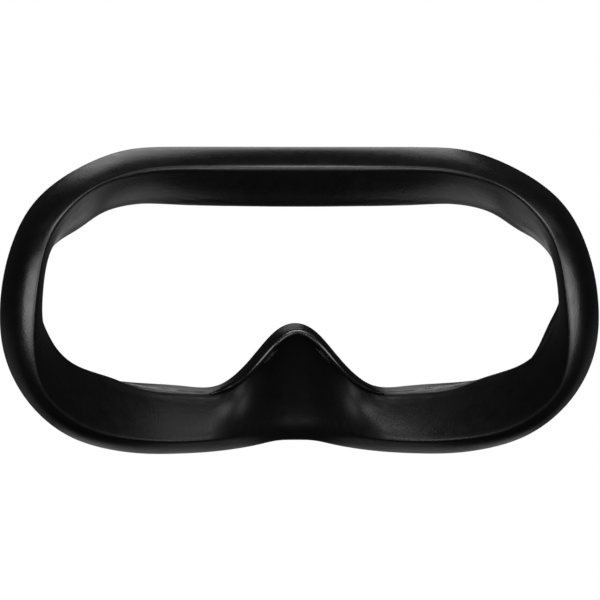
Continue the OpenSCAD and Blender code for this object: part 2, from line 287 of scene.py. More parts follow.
def pick(grid, at):
    """Values of a fine closed grid at fractional places, one row of places per ring."""
    low = np.floor(at).astype(int)
    t = at - low
    rows = np.arange(RINGS)[:, None]
    a, b = grid[rows, low % FINE], grid[rows, (low + 1) % FINE]
    if grid.ndim == 3:
        t = t[..., None]
    return a * (1 - t) + b * t


def at_start(grid, part):
    """Each section's point where a part starts."""
    return pick(grid, START[part][:, None])[:, 0]


# Rounding draws the widest line in, so it is put back.
body = body + near_widest * (widest - at_start(body, "roll"))[:, None]


def normals_of(grid):
    along_section = np.roll(grid, -1, 1) - np.roll(grid, 1, 1)
    along_ring = np.roll(grid, -1, 0) - np.roll(grid, 1, 0)
    return unit(np.cross(along_section, along_ring))


body_normals = normals_of(body)


# ---------------------------------------------------------------- the stuffed shape
COARSE_RINGS, COARSE_POINTS = 140, 60


def coarse(grid):
    """Every nth ring and point of a fine grid."""
    return grid[::RINGS // COARSE_RINGS, ::FINE // COARSE_POINTS]


def finer(grid):
    """A coarse closed grid brought smoothly to the fine grid's size."""
    for axis, count in ((0, RINGS), (1, FINE)):
        grid = np.moveaxis(grid, axis, 0)
        n = len(grid)
        spectrum = np.fft.rfft(grid, axis=0)
        grid = np.moveaxis(np.fft.irfft(spectrum, count, axis=0) * (count / n), 0, axis)
    return grid


def mesh_object(name, points, faces):
    mesh = bpy.data.meshes.new(name)
    mesh.from_pydata((np.reshape(points, (-1, 3)) * MM).tolist(), [], faces)
    mesh.update()
    piece = bpy.data.objects.new(name, mesh)
    bpy.context.scene.collection.objects.link(piece)
    return piece


def grid_faces(rings, points, first=0, flip=False, close_points=False, close_rings=True):
    last_r = rings if close_rings else rings - 1
    last_p = points if close_points else points - 1
    i, k = np.meshgrid(np.arange(last_r), np.arange(last_p), indexing="ij")
    a = first + i * points + k
    b = first + i * points + (k + 1) % points
    c = first + (i + 1) % rings * points + (k + 1) % points
    d = first + (i + 1) % rings * points + k
    order = (a, d, c, b) if not flip else (a, b, c, d)
    return np.stack(order, -1).reshape(-1, 4)


def held_weights():
    """How firmly each coarse point is held: fully at the seams and the back, not at all between."""
    held = np.zeros((RINGS, FINE))
    for part, reach in (("face", 2.2), ("inner_wall", 2.2), ("wall", 3.0), ("turned_inner", 3.0)):
        held = np.maximum(held, np.exp(-(distance_to(part) / reach) ** 2))
    on_the_back = (distance_to("turned_inner") > 0) | (distance_to("wall") < 0)
    between = np.abs(distance_to("lining")) < 12
    held[on_the_back & between] = 1
    return coarse(held)


def inflated():
    """Displacement of the coarse grid when the cover is stuffed, from a cloth simulation."""
    start = coarse(body)
    faces = grid_faces(COARSE_RINGS, COARSE_POINTS, close_points=True).tolist()
    shape = mesh_object("inflating", start, faces)
    bpy.context.view_layer.objects.active = shape
    remesh = shape.modifiers.new("Remesh", "REMESH")
    remesh.mode, remesh.voxel_size = "VOXEL", 4 * MM
    bpy.ops.object.modifier_apply(modifier=remesh.name)
    n = len(shape.data.vertices)
    before = np.empty(n * 3)
    shape.data.vertices.foreach_get("co", before)
    before = before.reshape(-1, 3) / MM

    def carried(targets, sources, values, count, reach):
        tree = KDTree(len(sources))
        for i, p in enumerate(sources):
            tree.insert(p, i)
        tree.balance()
        out = np.zeros((len(targets),) + values.shape[1:])
        for i, p in enumerate(targets):
            near = tree.find_n(p, count)
            w = np.array([math.exp(-(d / reach) ** 2) + 1e-9 for _, _, d in near])
            out[i] = np.tensordot(w / w.sum(), values[[j for _, j, _ in near]], 1)
        return out

    held = carried(before, start.reshape(-1, 3), held_weights().reshape(-1, 1), 6, 2.5)[:, 0]
    pins = shape.vertex_groups.new(name="pins")
    for i, w in enumerate(held):
        pins.add([i], float(min(1, w * 1.3)), "REPLACE")
    cloth = shape.modifiers.new("Cloth", "CLOTH")
    s = cloth.settings
    s.quality, s.mass, s.use_pressure, s.uniform_pressure_force = 6, 0.3, True, 4.0
    s.tension_stiffness = s.compression_stiffness = s.shear_stiffness = 25
    s.bending_stiffness = 2.0
    s.vertex_group_mass = "pins"
    s.pin_stiffness = 1.0
    s.effector_weights.gravity = 0
    scene = bpy.context.scene
    for f in range(1, 21):
        scene.frame_set(f)
    done = shape.evaluated_get(bpy.context.evaluated_depsgraph_get())
    after = np.empty(n * 3)
    done.data.vertices.foreach_get("co", after)
    moved = after.reshape(-1, 3) / MM - before
    scene.frame_set(1)
    bpy.data.objects.remove(shape)
    length = np.linalg.norm(moved, axis=1, keepdims=True)
    print("cloth moved by", np.percentile(length, [10, 50, 90, 100]).round(2))
    moved *= np.minimum(1, PUFF_CAP / np.maximum(length, 1e-9))
    return carried(start.reshape(-1, 3), before, moved, 8, 4.0).reshape(COARSE_RINGS, COARSE_POINTS, 3)


# A cap on the simulated movement. At these settings the cloth moves 0.1 mm at the most, so the
# stuffed look comes from the crown and fullness of the sections.
PUFF_CAP = 1.6
SLACK = 0.35         # how far the cover starts inside its full size between seams

stuffing = finer(inflated())
free = 1 - finer(held_weights()).clip(0, 1)
body = body + stuffing - body_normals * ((SLACK * free[..., None]))
body_normals = normals_of(body)
deep_normals = normals_of(soften(body, perimeter, 1.6))    # they turn slowly past a fold

# ---------------------------------------------------------------- seams
# How deep the outer seam's crease is at each station, from the brow to the nose.
CREASE = [0, 0, 0, 0.15, 0.4, 0.55, 0.6, 0.6, 0.6, 0.6, 0.6, 0.6, 0.55, 0.4, 0.25, 0.1, 0, 0]
LIP_CREASE = [0, 0, 0, 0, 0, 0, 0, 0, 0, 0, 0, 0, 0, 0.1, 0.3, 0.4, 0.4, 0.4]


def seam_relief(distance, depth):
    """Height of the cover near a seam: it drops steeply on its first side, and rises slowly after."""
    fall = np.where(distance < 0, 0.22, 1.6)
    return -depth[:, None] * np.exp(-np.abs(distance) / fall)


# Pleats where the turned-in edge is gathered round the pad's corners: pitch, height and width.
PLEAT_PITCH, PLEAT_H = 3.6, 0.22
LINING_RECESS = 0.2


def pleats():
    """Radial folds on the turned-in leatherette, higher where the outline bends more."""
    heading = unit(np.roll(outline, -1, 0) - np.roll(outline, 1, 0))
    bend = np.arccos(np.clip((np.roll(heading, -1, 0) * np.roll(heading, 1, 0)).sum(1), -1, 1))
    run = np.cumsum(np.linalg.norm(outline - np.roll(outline, 1, 0), axis=1))
    run *= 2 * math.pi * round(run[-1] / PLEAT_PITCH) / run[-1]
    uneven = run + 0.9 * np.sin(7 * run / PLEAT_PITCH / 5)
    folds = np.clip(np.cos(uneven), 0, 1) ** 3 * np.clip(bend / bend.max(), 0, 1)
    d = distance_to("wall")
    reach = ease((d + TURN_IN + 0.3) / 1.5) * ease(-d / 1.6)
    return PLEAT_H * folds[:, None] * reach


relief = (seam_relief(distance_to("face"), by_station(CREASE))
          + seam_relief(-distance_to("inner_wall"), by_station(LIP_CREASE)) + pleats())
surface = body + body_normals * relief[..., None]


# ---------------------------------------------------------------- panels cut from the section
def panel_places(first, last, count, shrink=0.03):
    """Places from one part's start to another's, closer together towards both ends."""
    a, b = START[first], START[last]
    b = np.where(b < a, b + FINE, b)
    t = np.linspace(0, 1, count)
    t = t - 0.85 / (2 * math.pi) * np.sin(2 * math.pi * t)
    gap = shrink / step
    return (a + gap)[:, None] * (1 - t) + (b - gap)[:, None] * t


def set_attribute(mesh, name, values):
    a = mesh.attributes.new(name, "FLOAT", "POINT")
    a.data.foreach_set("value", np.asarray(values, np.float32).ravel())


def shell(name, outer, inner, **attributes):
    """A closed sheet round the ring between two like-sized grids."""
    n, m = outer.shape[:2]
    faces = [grid_faces(n, m), grid_faces(n, m, first=n * m, flip=True)]
    i = np.arange(n)
    j = (i + 1) % n
    for k, flip in ((0, True), (m - 1, False)):
        quad = (i * m + k, j * m + k, n * m + j * m + k, n * m + i * m + k)
        faces.append(np.stack(quad if flip else quad[::-1], -1))
    piece = mesh_object(name, np.concatenate([outer.reshape(-1, 3), inner.reshape(-1, 3)]),
                        np.concatenate(faces).tolist())
    for key, values in attributes.items():
        set_attribute(piece.data, key, np.concatenate([values.ravel(), values.ravel()]))
    piece.data.shade_smooth()
    piece.data.set_sharp_from_angle(angle=math.radians(50))
    return piece


def seam_nearness():
    return np.exp(-np.minimum(np.abs(distance_to("face")), np.abs(distance_to("inner_wall"))) / 1.2)


near_seam = seam_nearness()
# How much duller the cover is at each station, from 0 to 1, set to match the nose arch's look.
DULLED = [0, 0, 0, 0, 0, 0, 0, 0, 0, 0, 0, 0, 0, 0.15, 0.8, 0.95, 0.95, 0.9]
dulled = by_station(DULLED).clip(0, 1)


def panel(name, first, last, count, recess=0.0):
    at = panel_places(first, last, count)
    outer = pick(surface, at) - pick(body_normals, at) * recess
    inner = pick(body, at) - pick(deep_normals, at) * COVER_T
    return shell(name, outer, inner, seam=pick(near_seam, at), dulled=dulled[:, None] + 0 * at)


outer_wall = panel("outer_wall_leatherette", "turned_outer", "face", 90)
contact = panel("contact_face_leatherette", "face", "inner_wall", 72)
inner_wall = panel("inner_wall_leatherette", "inner_wall", "lining", 60)
lining = panel("rear_knit_lining", "lining", "turned_outer", 24, recess=LINING_RECESS)


# ---------------------------------------------------------------- piping along the nose and cheek lip
def bead(name, centres, normals, radii, flat, sides=18):
    """A closed bead along a line of centres, its ends capped, and flatter along the normals."""
    tangent = unit(np.gradient(centres, axis=0))
    n = unit(normals - tangent * (normals * tangent).sum(1, keepdims=True))
    b = np.cross(tangent, n)
    a = np.arange(sides) * 2 * math.pi / sides
    ring = (centres[:, None] + radii[:, None, None]
            * (flat * n[:, None] * np.cos(a)[None, :, None] + b[:, None] * np.sin(a)[None, :, None]))
    faces = grid_faces(len(centres), sides, close_points=True, close_rings=False).tolist()
    last = (len(centres) - 1) * sides
    faces += [list(range(sides)), list(range(last + sides - 1, last - 1, -1))]
    piece = mesh_object(name, ring, faces)
    piece.data.shade_smooth()
    return piece


def sheet_between(name, top, bottom):
    """A closed solid between two like-sized open grids."""
    n, m = top.shape[:2]
    faces = [grid_faces(n, m, close_rings=False), grid_faces(n, m, first=n * m, flip=True, close_rings=False)]
    index = np.arange(n * m).reshape(n, m)
    rim = np.r_[index[0, :-1], index[:-1, -1], index[-1, :0:-1], index[:0:-1, 0]]
    after = np.roll(rim, -1)
    faces.append(np.stack([rim, after, after + n * m, rim + n * m], -1))
    piece = mesh_object(name, np.concatenate([top.reshape(-1, 3), bottom.reshape(-1, 3)]),
                        np.concatenate(faces).tolist())
    piece.data.shade_smooth()
    return piece


PIPING_FROM = 13.67          # the station where the bead comes out of the fold
PIPING_R, PIPING_FLAT = 1.15, 0.65     # half its width, and its thickness as a share of that
PIPING_TAPER = 7.0           # length of its pointed ends
beaded = np.flatnonzero((u_ring > PIPING_FROM) & (u_ring < STATIONS - PIPING_FROM))
lip_points, lip_normals = at_start(body, "inner_wall")[beaded], at_start(body_normals, "inner_wall")[beaded]
run = np.r_[0, np.cumsum(np.linalg.norm(np.diff(lip_points, axis=0), axis=1))]
end_distance = np.minimum(run, run[-1] - run)
thin = np.sqrt(ease(end_distance / PIPING_TAPER))
THREAD_SUNK = COVER_T + 0.6     # the thread that closes each seam is hidden below the cover


def seam_threads(name, radius, sides=6):
    """A closed loop of thread under each seam."""
    a = np.arange(sides) * 2 * math.pi / sides
    points, faces = [], []
    for part in ("face", "inner_wall"):
        normals = at_start(deep_normals, part)
        centres = at_start(body, part) - normals * THREAD_SUNK
        tangent = unit(np.roll(centres, -1, 0) - np.roll(centres, 1, 0))
        n = unit(normals - tangent * (normals * tangent).sum(1, keepdims=True))
        b = np.cross(tangent, n)
        ring = centres[:, None] + radius * (n[:, None] * np.cos(a)[:, None] + b[:, None] * np.sin(a)[:, None])
        faces.append(grid_faces(RINGS, sides, first=len(points) * RINGS * sides, close_points=True))
        points.append(ring)
    piece = mesh_object(name, np.concatenate(points), np.concatenate(faces).tolist())
    piece.data.shade_smooth()
    return piece


seam_lines = seam_threads("seam_threads", 0.2)
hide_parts("seam_thread")
piping = bead("nose_lip_piping", lip_points + lip_normals * (PIPING_R * thin * 0.4)[:, None],
              lip_normals, PIPING_R * (0.12 + 0.88 * thin), PIPING_FLAT)

# ---------------------------------------------------------------- foam inside the cover
FOAM_GAP = 0.05              # between the foam and the cover
BASE_SHARE = 0.8             # of the outer wall's depth filled by the base foam
BACK_SHARE = 0.1             # of it taken by the board and its film
SEAM_GROOVE = 1.25           # cut in the soft foam under each seam
BROW_END, NOSE_START = 4, 14     # stations where the soft foam is divided

seam_distance = np.minimum(np.abs(distance_to("face")), np.abs(distance_to("inner_wall")))
groove = SEAM_GROOVE * np.exp(-(seam_distance / 1.3) ** 2)
core = body - deep_normals * (COVER_T + FOAM_GAP + groove)[..., None]


def wall_place(share):
    """Places on the outer wall, at a share of its depth from the back."""
    return START["wall"] + (START["roll"] - START["wall"]) * share


def inner_place(share):
    """The places on the inner wall that lie as deep as wall_place(share)."""
    depth = (at_start(body, "roll") - at_start(body, "wall"))[:, 1] * share
    inner_depth = (at_start(body, "inner_wall") - at_start(body, "turned_inner"))[:, 1]
    return START["turned_inner"] - (START["turned_inner"] - START["inner_wall"]) * depth / inner_depth


def foam_block(name, node, first, last):
    """One block of soft foam, between two stations."""
    a, b = wall_place(BASE_SHARE + 0.02), inner_place(BASE_SHARE + 0.02)
    t = np.linspace(0, 1, 70)
    top = pick(core, a[:, None] * (1 - t) + b[:, None] * t)
    ends = top[:, 0][:, None] * (1 - t)[None, :, None] + top[:, -1][:, None] * t[None, :, None]
    u = (u_ring + STATIONS / 2) % STATIONS - STATIONS / 2 if first < 0 else u_ring
    chosen = np.flatnonzero((u > first) & (u < last))
    chosen = chosen[np.argsort(u[chosen])]
    piece = sheet_between(name, top[chosen], ends[chosen])
    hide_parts(node)
    return piece


def base_foam_ring():
    """The firm foam between the soft foam and the board."""
    t = np.linspace(0, 1, 12)
    outer_at = wall_place(BACK_SHARE)[:, None] * (1 - t) + wall_place(BASE_SHARE)[:, None] * t
    inner_at = inner_place(BACK_SHARE)[:, None] * (1 - t) + inner_place(BASE_SHARE)[:, None] * t
    piece = shell("firm_base_foam", pick(core, outer_at), pick(core, inner_at))
    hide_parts("base_foam")
    return piece


soft_foam = [foam_block("brow_soft_foam", "brow_foam", -BROW_END, BROW_END),
             foam_block("cheek_soft_foam_right", "cheek_foam_right", BROW_END + 0.02, NOSE_START - 0.02),
             foam_block("nose_soft_foam", "nose_foam", NOSE_START, STATIONS - NOSE_START),
             foam_block("cheek_soft_foam_left", "cheek_foam_left", STATIONS - NOSE_START + 0.02,
                        STATIONS - BROW_END - 0.02)]
firm_foam = base_foam_ring()

# ---------------------------------------------------------------- loop strips on the back
rng = np.random.default_rng(11)
TAPE_T, SELVEDGE = 0.6, 1.4
NOSE_STRIP_L, NOSE_STRIP_W, NOSE_LEAN = 20.0, 7.0, 16.0
TEMPLE_FROM, TEMPLE_TO, TEMPLE_SHARE = 4.3, 8.7, 0.72   # stations, and share of the back's width
LOOPS_PER_MM2, YARN_R = 2.4, 0.055
THREAD_R, STITCH, STITCH_PITCH, STITCH_EDGE = 0.2, 2.1, 2.9, 0.65


def flat_place(centre_x, centre_z, lean):
    """Maps (along, across, height) of a strip to the flat back."""
    c, d = math.cos(math.radians(lean)), math.sin(math.radians(lean))

    def place(u, v, h):
        u, v, h = np.broadcast_arrays(u, v, h)
        return np.stack([centre_x + u * c - v * d, FLAT_Y + h, centre_z + u * d + v * c], -1)
    return place


def temple_place(side):
    """Maps (along, across, height) of a strip to the back where it bends round a temple."""
    path = even_stations(2000)
    mid = (path >= TEMPLE_FROM) & (path <= TEMPLE_TO)
    u_mid = path[mid]
    outer_edge = spline(mirrored(OUTLINE), u_mid) * SCALE
    ridge_side = spline(mirrored(RIDGE_LINE), u_mid) * SCALE
    outer_edge = outer_edge + unit(ridge_side - outer_edge) * EDGE_TUCK
    inner_edge = spline(mirrored(OPENING_LINE), u_mid) * SCALE
    centre = in_space((outer_edge + inner_edge) / 2, back_y((outer_edge + inner_edge)[:, 0] / 2))
    run = np.r_[0, np.cumsum(np.linalg.norm(np.diff(centre, axis=0), axis=1))]
    half = run[-1] / 2
    width = np.linalg.norm(outer_edge - inner_edge, axis=1)

    def place(u, v, h):
        u, v, h = np.broadcast_arrays(u, v, h)
        at = np.interp(u + half, run, np.arange(len(run)))
        low = np.clip(np.floor(at).astype(int), 0, len(run) - 2)
        t = at - low
        def blend(a):
            return a[low] * (1 - t)[..., None] + a[low + 1] * t[..., None]
        o, i = blend(outer_edge), blend(inner_edge)
        share = 0.5 - v / (width[low] * 1.0)
        xz = o * share[..., None] + i * (1 - share[..., None])
        e = 0.01
        slope = (back_y(xz[..., 0] + e) - back_y(xz[..., 0] - e)) / (2 * e)
        normal = unit(np.stack([-slope, np.ones_like(slope), np.zeros_like(slope)], -1))
        p = np.stack([xz[..., 0], back_y(xz[..., 0]), xz[..., 1]], -1) + normal * h[..., None]
        p[..., 0] *= side
        return p
    return place, 2 * half, TEMPLE_SHARE * width.mean()



def half_width(u, length, width, rounded):
    """Half of a strip's width at a place along it, with round or straight ends."""
    over = np.clip(np.abs(u) - (length - width) / 2, 0, width / 2) if rounded else 0 * u
    return np.sqrt(np.maximum((width / 2) ** 2 - over ** 2, 0.0004))


def strip_grid(place, length, width, rounded, height, mirror, rows=9, pitch=0.9, wobble=0.0):
    n = max(24, int(length / pitch))
    s = np.linspace(0, 1, n)
    u = length / 2 * (2 * s - 1 + 0.12 * np.sin(4 * math.pi * s) * (1 if rounded else 0) / 2)
    v = np.linspace(-1, 1, rows)
    w = half_width(u, length, width, rounded)[:, None]
    edge = np.minimum(1 - np.abs(v)[None, :], 1) * w
    ends = np.minimum(length / 2 - np.abs(u), 1)[:, None] + 0.15
    lift = np.sqrt(np.clip(np.minimum(edge, ends) / 0.35, 0, 1))
    h = height * (0.45 + 0.55 * lift) + wobble * rng.standard_normal((n, rows)) * lift
    top, bottom = place(u[:, None], v[None, :] * w, h), place(u[:, None], v[None, :] * w, -0.1 + 0 * h)
    if mirror:
        top, bottom = top[::-1], bottom[::-1]
    return top, bottom


def random_places(length, width, rounded, count):
    u = (rng.random(count) - 0.5) * length
    v = (rng.random(count) - 0.5) * width
    return [a[np.abs(v) < half_width(u, length, width, rounded)] for a in (u, v)]


def many(name, loops, sides):
    """One mesh of many open little tubes, given as (points, radius) lines of the same length."""
    lines = np.array([line for line, _ in loops])
    radii = np.array([r for _, r in loops])[:, None, None, None]
    count, n = lines.shape[:2]
    tangent = unit(np.gradient(lines, axis=1))
    side = unit(np.cross(tangent, np.array([0.31, 0.9, 0.29])))
    up = np.cross(side, tangent)
    a = np.arange(sides) * 2 * math.pi / sides
    spokes = side[:, :, None] * np.cos(a)[:, None] + up[:, :, None] * np.sin(a)[:, None]
    ring = lines[:, :, None] + radii * spokes
    one = grid_faces(n, sides, close_points=True, close_rings=False)
    faces = (one[None] + (np.arange(count) * n * sides)[:, None, None]).reshape(-1, 4).tolist()
    for k in range(count):
        first, last = k * n * sides, (k * n + n - 1) * sides
        faces += [list(range(first, first + sides)), list(range(last + sides - 1, last - 1, -1))]
    piece = mesh_object(name, ring, faces)
    piece.data.shade_smooth()
    return piece


def pile_loops(place, length, width, rounded, top):
    """Little arcs of yarn, leaning this way and that, over a strip's middle."""
    u, v = random_places(length, width, rounded, int(length * width * LOOPS_PER_MM2))
    loops = []
    t = np.linspace(0, 1, 6)
    for a, b in zip(u, v):
        turn = rng.random() * math.pi
        span_, lean = 0.35 + 0.3 * rng.random(), 0.35 * rng.standard_normal()
        tall = (top - 0.75) * (0.75 + 0.25 * rng.random())
        along = (t - 0.5) * span_ * (1 + 0.5 * np.sin(math.pi * t))
        h = 0.7 + tall * np.sin(math.pi * t) ** 0.7
        side = lean * np.sin(math.pi * t) * 0.6
        x = a + along * math.cos(turn) - side * math.sin(turn)
        y = b + along * math.sin(turn) + side * math.cos(turn)
        loops.append((place(x, y, h), YARN_R))
    return loops



def stitches_round(place, length, width, rounded):
    """Single stitches along a strip's bare edge, each arched over the tape and sunk at its ends."""
    l, w = length - 2 * STITCH_EDGE, width - 2 * STITCH_EDGE
    if rounded:
        straight, turn = l - w, math.pi * w / 2
        total = 2 * (straight + turn)
    else:
        total = 2 * (l + w)

    def at(d):
        d = d % total
        if not rounded:
            for edge, (a, b) in enumerate(((l, 0), (w, 1), (l, 2), (w, 3))):
                if d <= a:
                    starts = [(-l / 2 + d, -w / 2), (l / 2, -w / 2 + d), (l / 2 - d, w / 2),
                              (-l / 2, w / 2 - d)]
                    return starts[edge]
                d -= a
        for edge in range(4):
            size = straight if edge % 2 == 0 else turn
            if d <= size:
                break
            d -= size
        sign = 1 if edge < 2 else -1
        if edge % 2 == 0:
            return sign * (-straight / 2 + d), -sign * w / 2
        a = d / (w / 2) - math.pi / 2
        return sign * (straight / 2 + math.cos(a) * w / 2), sign * math.sin(a) * w / 2

    count = round(total / STITCH_PITCH)
    out = []
    t = np.linspace(-0.5, 0.5, 7)
    for k in range(count):
        middle = (k + 0.5) * total / count + 0.08 * rng.standard_normal()
        uv = np.array([at(middle + q * STITCH) for q in t])
        h = TAPE_T - 0.12 + 0.3 * np.cos(math.pi * t) ** 0.6
        out.append((place(uv[:, 0], uv[:, 1], h), THREAD_R))
    return out


def strip_parts(name, node, place, length, width, rounded, mirror=False):
    """A strip's woven tape and its pile, and its stitches as lines."""
    tape = sheet_between(name + "_tape", *strip_grid(place, length, width, rounded, TAPE_T, mirror))
    inner_l, inner_w = length - 2 * SELVEDGE, width - 2 * SELVEDGE
    mat = sheet_between(name + "_pile_mat", *strip_grid(place, inner_l, inner_w, rounded, 0.98, mirror,
                                                        rows=17, pitch=0.45, wobble=0.07))
    pile = many(name + "_pile", pile_loops(place, inner_l - 0.5, inner_w - 0.5, rounded, LOOP_T), 3)
    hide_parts(node)
    return (tape, mat, pile), stitches_round(place, length, width, rounded)


def strip_place(node):
    low, high = span(node)
    return (low + high) / 2, high - low


strips, stitch_lines = {}, []
(cx, _, cz), (l, _, w) = strip_place("brow_loop_strip")
strips["brow_strip"], lines = strip_parts("brow_strip", "brow_loop_strip", flat_place(cx, cz, 0), l, w, True)
stitch_lines += lines
for side, sign in (("left", -1), ("right", 1)):
    node = "cheek_loop_strip_" + side
    (cx, _, cz), (l, _, w) = strip_place(node)
    strips["cheek_" + side], lines = strip_parts("cheek_strip_" + side, node,
                                                 flat_place(cx, cz, 0), l, w, True)
    stitch_lines += lines
    node = "nose_loop_strip_" + side
    (cx, _, cz), _ = strip_place(node)
    strips["nose_" + side], lines = strip_parts("nose_strip_" + side, node,
                                                flat_place(cx, cz, 90 + sign * NOSE_LEAN),
                                                NOSE_STRIP_L, NOSE_STRIP_W,
                                                True)
    stitch_lines += lines
    node = "temple_loop_strip_" + side
    place, l, w = temple_place(sign)
    strips["temple_" + side], lines = strip_parts("temple_strip_" + side, node, place, l, w, False, sign > 0)
    stitch_lines += lines
stitching = many("strip_stitches", stitch_lines, 8)
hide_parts("loop_strip_stitching")

# ---------------------------------------------------------------- materials
class Look:
    """A node material, with short ways to add the textures that vary it."""

    def __init__(self, name, color, roughness, **sockets):
        self.material = bpy.data.materials.new(name)
        self.material.use_nodes = True
        self.material.diffuse_color = (*color, 1)
        self.tree = self.material.node_tree
        self.shader = self.tree.nodes["Principled BSDF"]
        self.shader.inputs["Base Color"].default_value = (*color, 1)
        self.shader.inputs["Roughness"].default_value = roughness
        for key, value in sockets.items():
            self.shader.inputs[key.replace("_", " ")].default_value = value
        self.where = self.node("ShaderNodeTexCoord").outputs["Object"]

    def node(self, kind, **inputs):
        made = self.tree.nodes.new(kind)
        for key, value in inputs.items():
            self.feed(made.inputs[key.replace("_", " ")], value)
        return made

    def feed(self, socket, value):
        if isinstance(value, bpy.types.NodeSocket):
            self.tree.links.new(value, socket)
        else:
            socket.default_value = value

    def noise(self, size, detail=2.0):
        """Noise with features of about size millimetres."""
        made = self.node("ShaderNodeTexNoise", Vector=self.where, Scale=1 / (size * MM), Detail=detail)
        return made.outputs["Fac"]

    def cells(self, size):
        """Distance to the nearest cell edge, for cells of about size millimetres."""
        made = self.node("ShaderNodeTexVoronoi", Vector=self.where, Scale=1 / (size * MM))
        made.feature = "DISTANCE_TO_EDGE"
        return made.outputs["Distance"]

    def bands(self, direction, period, bend=0.0):
        """Even ribs across one axis, period millimetres apart."""
        scale = math.pi / (10 * period * MM)
        made = self.node("ShaderNodeTexWave", Vector=self.where, Scale=scale, Distortion=bend)
        made.bands_direction = direction
        return made.outputs["Fac"]

    def ranged(self, value, low, high, to_low, to_high):
        made = self.node("ShaderNodeMapRange", Value=value)
        for key, number in (("From Min", low), ("From Max", high), ("To Min", to_low), ("To Max", to_high)):
            made.inputs[key].default_value = number
        return made.outputs[0]

    def math(self, operation, a, b):
        made = self.node("ShaderNodeMath")
        made.operation = operation
        self.feed(made.inputs[0], a)
        self.feed(made.inputs[1], b)
        return made.outputs[0]

    def attribute(self, name):
        made = self.node("ShaderNodeAttribute")
        made.attribute_name = name
        return made.outputs["Fac"]

    def tint(self, value, dark, light):
        """Base colour between two colours as value goes from 0 to 1."""
        made = self.node("ShaderNodeValToRGB", Fac=value)
        made.color_ramp.elements[0].color = (*dark, 1)
        made.color_ramp.elements[1].color = (*light, 1)
        self.feed(self.shader.inputs["Base Color"], made.outputs["Color"])

    def bump(self, height, millimetres, onto=None):
        """Raises the surface by up to so many millimetres where height is 1."""
        made = self.node("ShaderNodeBump", Height=height, Distance=millimetres * MM)
        if onto is not None:
            self.feed(made.inputs["Normal"], onto)
        self.feed(self.shader.inputs["Normal"], made.outputs["Normal"])
        return made.outputs["Normal"]


def grained(name, dark, light, rough, cell, depth, waviness):
    """Black leatherette: grain cells with fine furrows, slow waves, duller at seams and where rubbed, patchy
    in tone, and darker in colour along the seams as painted shade of their creases.
    """
    look = Look(name, light, rough, Specular_IOR_Level=0.5)
    edge = look.ranged(look.cells(cell), 0.0, 0.3, 0.0, 1.0)
    seam = look.attribute("seam")
    # Painted shade: near the seams the colour is darkened, standing in for the shade in their creases; the
    # slow noise gives patchy tone.
    wear_and_seam_shade = look.math("SUBTRACT", look.ranged(look.noise(9), 0.35, 0.65, 0.55, 1.0),
                     look.math("MULTIPLY", seam, 0.5))
    look.tint(look.math("MULTIPLY", wear_and_seam_shade, look.ranged(edge, 0, 1, 0.6, 1.0)), dark, light)
    uneven = look.ranged(look.noise(4, 3.0), 0.3, 0.7, rough - 0.03, rough + 0.04)
    dull = look.attribute("dulled")
    rough_here = look.math("ADD", uneven, look.math("MULTIPLY", seam, 0.12))
    look.feed(look.shader.inputs["Roughness"], look.math("ADD", rough_here, look.math("MULTIPLY", dull, 0.1)))
    look.feed(look.shader.inputs["Specular IOR Level"], look.ranged(dull, 0, 1, 0.5, 0.12))
    waves = look.bump(look.noise(7, 1.0), waviness)
    fine = look.bump(look.noise(cell * 1.3, 1.0), depth * 0.6, waves)
    look.bump(edge, depth, fine)
    return look.material


def woven(name, dark, light, across_axis, along_axis, pitch, depth, rough=0.75):
    """Woven or knitted cloth: ribs crossed by finer rows, with uneven yarn."""
    look = Look(name, light, rough, Sheen_Weight=0.35, Sheen_Roughness=0.5, Specular_IOR_Level=0.3)
    ribs = look.bands(across_axis, pitch, 0.6)
    rows = look.bands(along_axis, pitch * 0.62, 0.6)
    cloth = look.math("MULTIPLY", ribs, look.ranged(rows, 0, 1, 0.35, 1.0))
    look.tint(look.math("MULTIPLY", cloth, look.ranged(look.noise(2.5), 0.3, 0.7, 0.7, 1.0)), dark, light)
    fuzz = look.bump(look.noise(0.15), depth * 0.4)
    look.bump(cloth, depth, fuzz)
    return look.material


def yarn(name, dark, light, rough):
    """Brushed loops or thread, each a little different."""
    look = Look(name, light, rough, Sheen_Weight=0.5, Sheen_Roughness=0.4, Specular_IOR_Level=0.3)
    look.tint(look.ranged(look.noise(0.5, 3.0), 0.3, 0.7, 0.0, 1.0), dark, light)
    twist = look.bands("DIAGONAL", 0.35)
    look.bump(twist, 0.04)
    return look.material


def porous(name, dark, light, cell, depth, rough=0.9):
    """Open or closed cells of foam."""
    look = Look(name, light, rough, Specular_IOR_Level=0.25)
    pores = look.ranged(look.cells(cell), 0.0, 0.25, 1.0, 0.0)
    look.tint(look.math("MULTIPLY", pores, look.ranged(look.noise(6), 0.3, 0.7, 0.6, 1.0)), dark, light)
    look.bump(pores, depth)
    return look.material


def film(name, dark, light, rough, patch, depth):
    """Dried adhesive or moulded sheet: brushed on in uneven patches."""
    look = Look(name, light, rough)
    patches = look.noise(patch, 3.0)
    look.tint(look.ranged(patches, 0.3, 0.7, 0.0, 1.0), dark, light)
    look.feed(look.shader.inputs["Roughness"],
              look.ranged(look.noise(patch / 3), 0.3, 0.7, rough - 0.1, rough + 0.1))
    look.bump(patches, depth)
    return look.material


